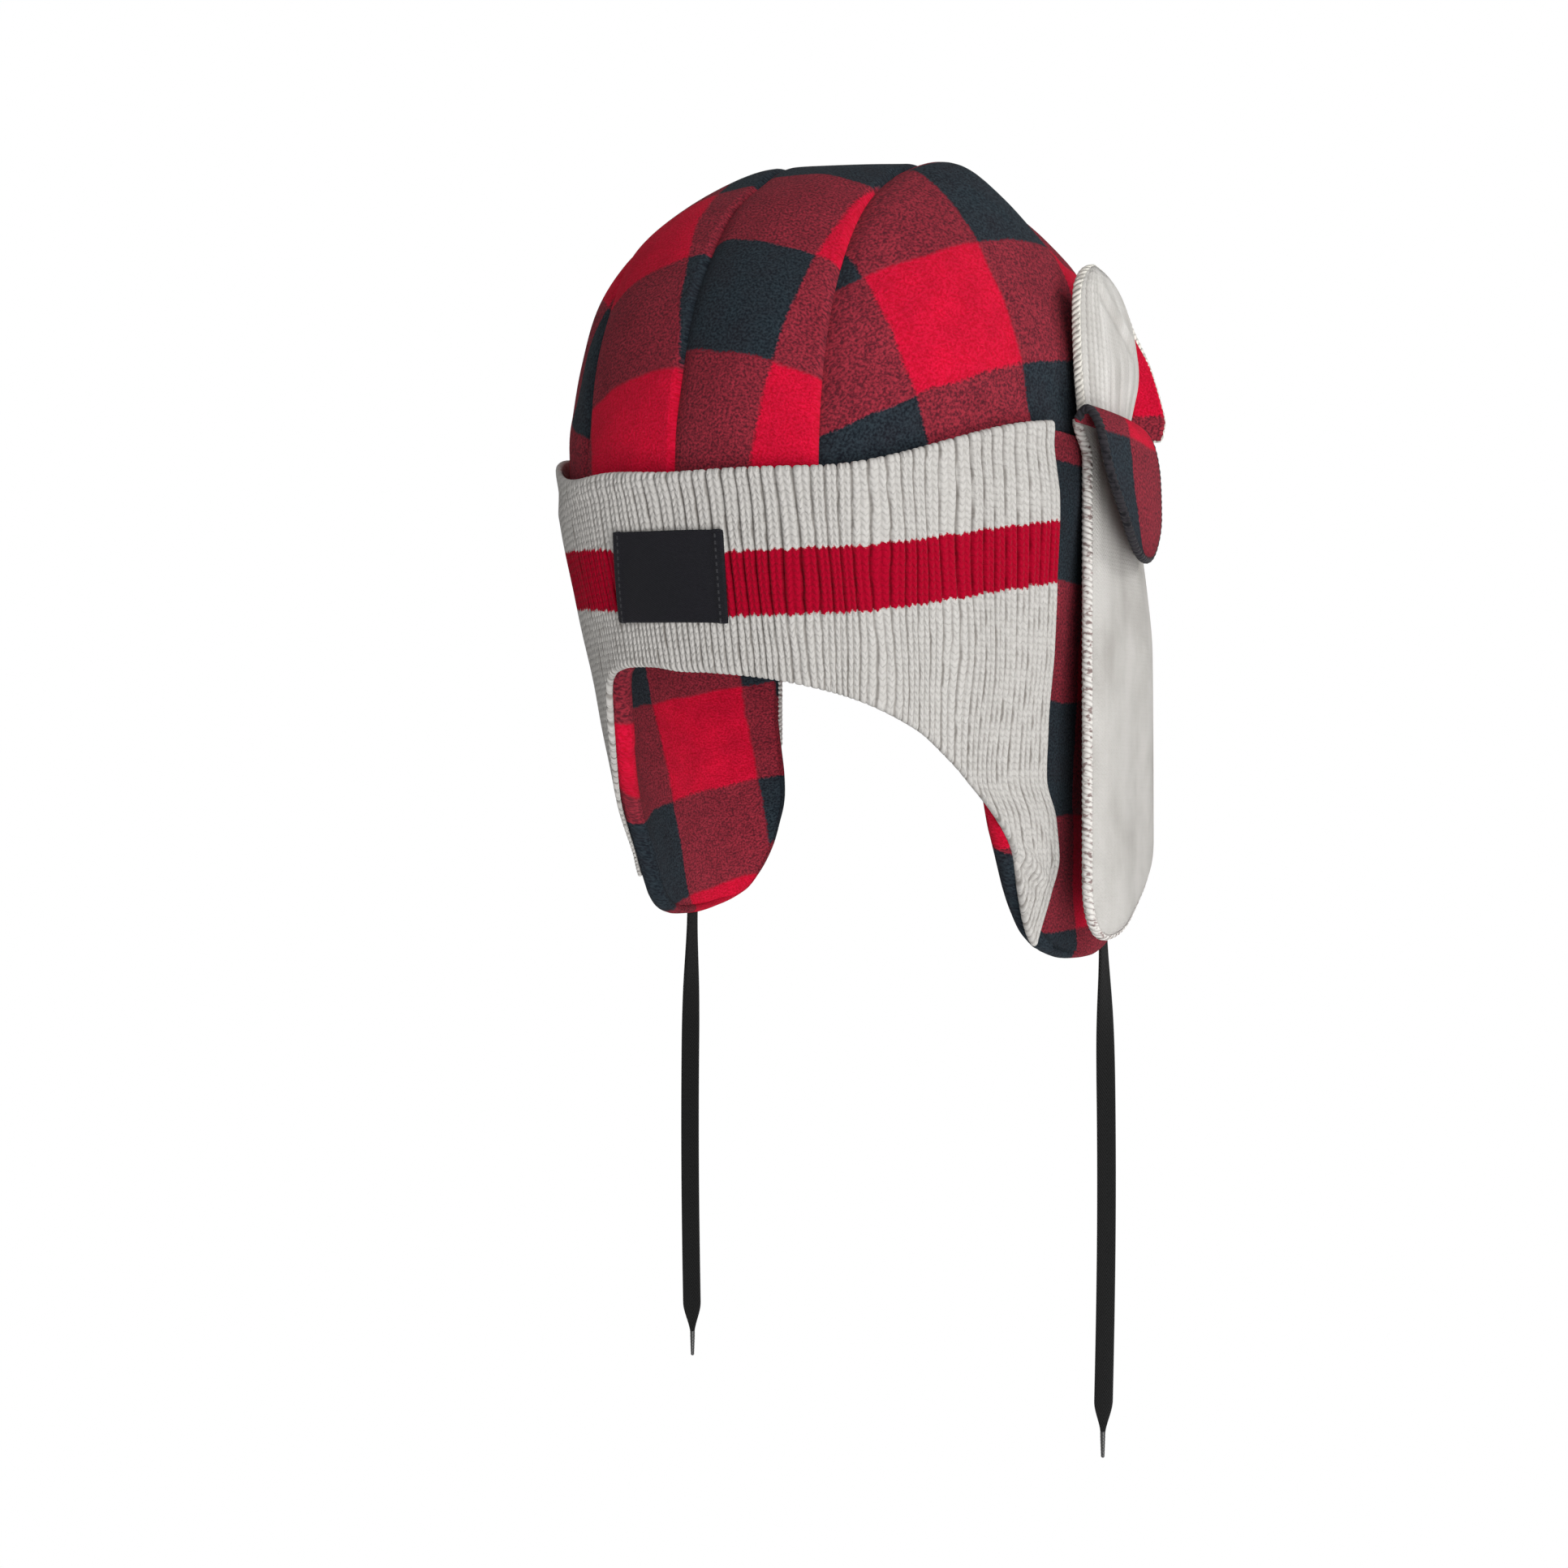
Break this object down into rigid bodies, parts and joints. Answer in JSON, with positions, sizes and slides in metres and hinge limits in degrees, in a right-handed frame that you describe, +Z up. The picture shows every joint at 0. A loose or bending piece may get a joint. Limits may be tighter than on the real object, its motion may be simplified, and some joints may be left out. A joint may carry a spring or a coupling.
{
  "type": "trapper hat",
  "caption": "Soft trapper hat with a panelled check fleece crown, a ribbed knit cuff, hanging ear flaps with flat laces, and knit straps and tabs over the ears.",
  "frame": {"origin": "middle of the head opening, level with the front edge of the cuff", "axes": "+Z up through the crown, -Y the way the wearer faces, +X the wearer's left"},
  "size_m": [0.2127, 0.2089, 0.4353],
  "materials": {
    "check_fleece": "brushed red and black check fleece",
    "lining_fleece": "brushed red and black check fleece",
    "rib_knit": "cream rib knit with a red stripe on the cuff",
    "label_weave": "plain black woven tape",
    "lace_braid": "black flat braid",
    "aglet_plastic": "black shrunk tube"
  },
  "bodies": {
    "hat": {"crown_strip_left": "check_fleece", "crown_strip_right": "check_fleece", "crown_side_left": "check_fleece", "crown_side_right": "check_fleece", "crown_lining": "lining_fleece", "skirt_left": "check_fleece", "skirt_right": "check_fleece", "skirt_lining_left": "lining_fleece", "skirt_lining_right": "lining_fleece", "cuff_left": "rib_knit", "cuff_right": "rib_knit", "front_label": "label_weave"},
    "left_flap": {"flap_left": "check_fleece", "flap_lining_left": "lining_fleece", "flap_knit_left": "rib_knit"},
    "right_flap": {"flap_right": "check_fleece", "flap_lining_right": "lining_fleece", "flap_knit_right": "rib_knit"},
    "left_lace": {"lace_left": "lace_braid", "aglet_left": "aglet_plastic"},
    "right_lace": {"lace_right": "lace_braid", "aglet_right": "aglet_plastic"},
    "left_strap": {"strap_fleece_left": "check_fleece", "strap_knit_left": "rib_knit"},
    "right_strap": {"strap_fleece_right": "check_fleece", "strap_knit_right": "rib_knit"},
    "left_droop_tab": {"droop_tab_left": "check_fleece"},
    "right_droop_tab": {"droop_tab_right": "check_fleece"},
    "left_tab": {"tab_fleece_left": "check_fleece", "tab_knit_left": "rib_knit"},
    "right_tab": {"tab_fleece_right": "check_fleece", "tab_knit_right": "rib_knit"},
    "left_rear_tab": {"rear_tab_fleece_left": "check_fleece", "rear_tab_knit_left": "rib_knit"},
    "right_rear_tab": {"rear_tab_fleece_right": "check_fleece", "rear_tab_knit_right": "rib_knit"}
  },
  "joints": [
    {"name": "left_flap_fold", "type": "hinge", "parent": "hat", "child": "left_flap", "pos_m": [0.07567, 0.01, -0.03], "axis": [0, -1, 0], "range_deg": [-14, 8]},
    {"name": "right_flap_fold", "type": "hinge", "parent": "hat", "child": "right_flap", "pos_m": [-0.07133, 0.01, -0.03], "axis": [0, 1, 0], "range_deg": [-14, 8]},
    {"name": "left_lace_swing", "type": "hinge", "parent": "left_flap", "child": "left_lace", "pos_m": [0.07638, 0.04642, -0.08304], "axis": [0, -1, 0], "range_deg": [-25, 25]},
    {"name": "right_lace_swing", "type": "hinge", "parent": "right_flap", "child": "right_lace", "pos_m": [-0.06799, 0.01307, -0.0812], "axis": [0, 1, 0], "range_deg": [-25, 25]},
    {"name": "left_strap_swing", "type": "hinge", "parent": "hat", "child": "left_strap", "pos_m": [0.0956, 0, 0.076], "axis": [0, -1, 0], "range_deg": [0, 20]},
    {"name": "right_strap_swing", "type": "hinge", "parent": "hat", "child": "right_strap", "pos_m": [-0.0902, 0.03567, 0.076], "axis": [0.2978, 0.9546, 0], "range_deg": [0, 20]},
    {"name": "left_droop_tab_lift", "type": "hinge", "parent": "left_strap", "child": "left_droop_tab", "pos_m": [0.0979, 0, 0.0726], "axis": [0, -1, 0], "range_deg": [0, 12]},
    {"name": "right_droop_tab_lift", "type": "hinge", "parent": "right_strap", "child": "right_droop_tab", "pos_m": [-0.09239, 0.03635, 0.0726], "axis": [0.2978, 0.9546, 0], "range_deg": [0, 12]},
    {"name": "left_tab_lean", "type": "hinge", "parent": "hat", "child": "left_tab", "pos_m": [0.0956, 0, 0.0764], "axis": [0, 1, 0], "range_deg": [0, 10]},
    {"name": "right_tab_lean", "type": "hinge", "parent": "hat", "child": "right_tab", "pos_m": [-0.0902, 0.03567, 0.0764], "axis": [-0.2978, -0.9546, 0], "range_deg": [0, 10]},
    {"name": "left_rear_tab_lean", "type": "hinge", "parent": "hat", "child": "left_rear_tab", "pos_m": [0.08024, 0.04717, 0.071], "axis": [-0.9546, -0.2978, 0], "range_deg": [0, 15]},
    {"name": "right_rear_tab_lean", "type": "hinge", "parent": "hat", "child": "right_rear_tab", "pos_m": [-0.05496, 0.0813, 0.071], "axis": [-0.7852, 0.6192, 0], "range_deg": [0, 15]}
  ]
}
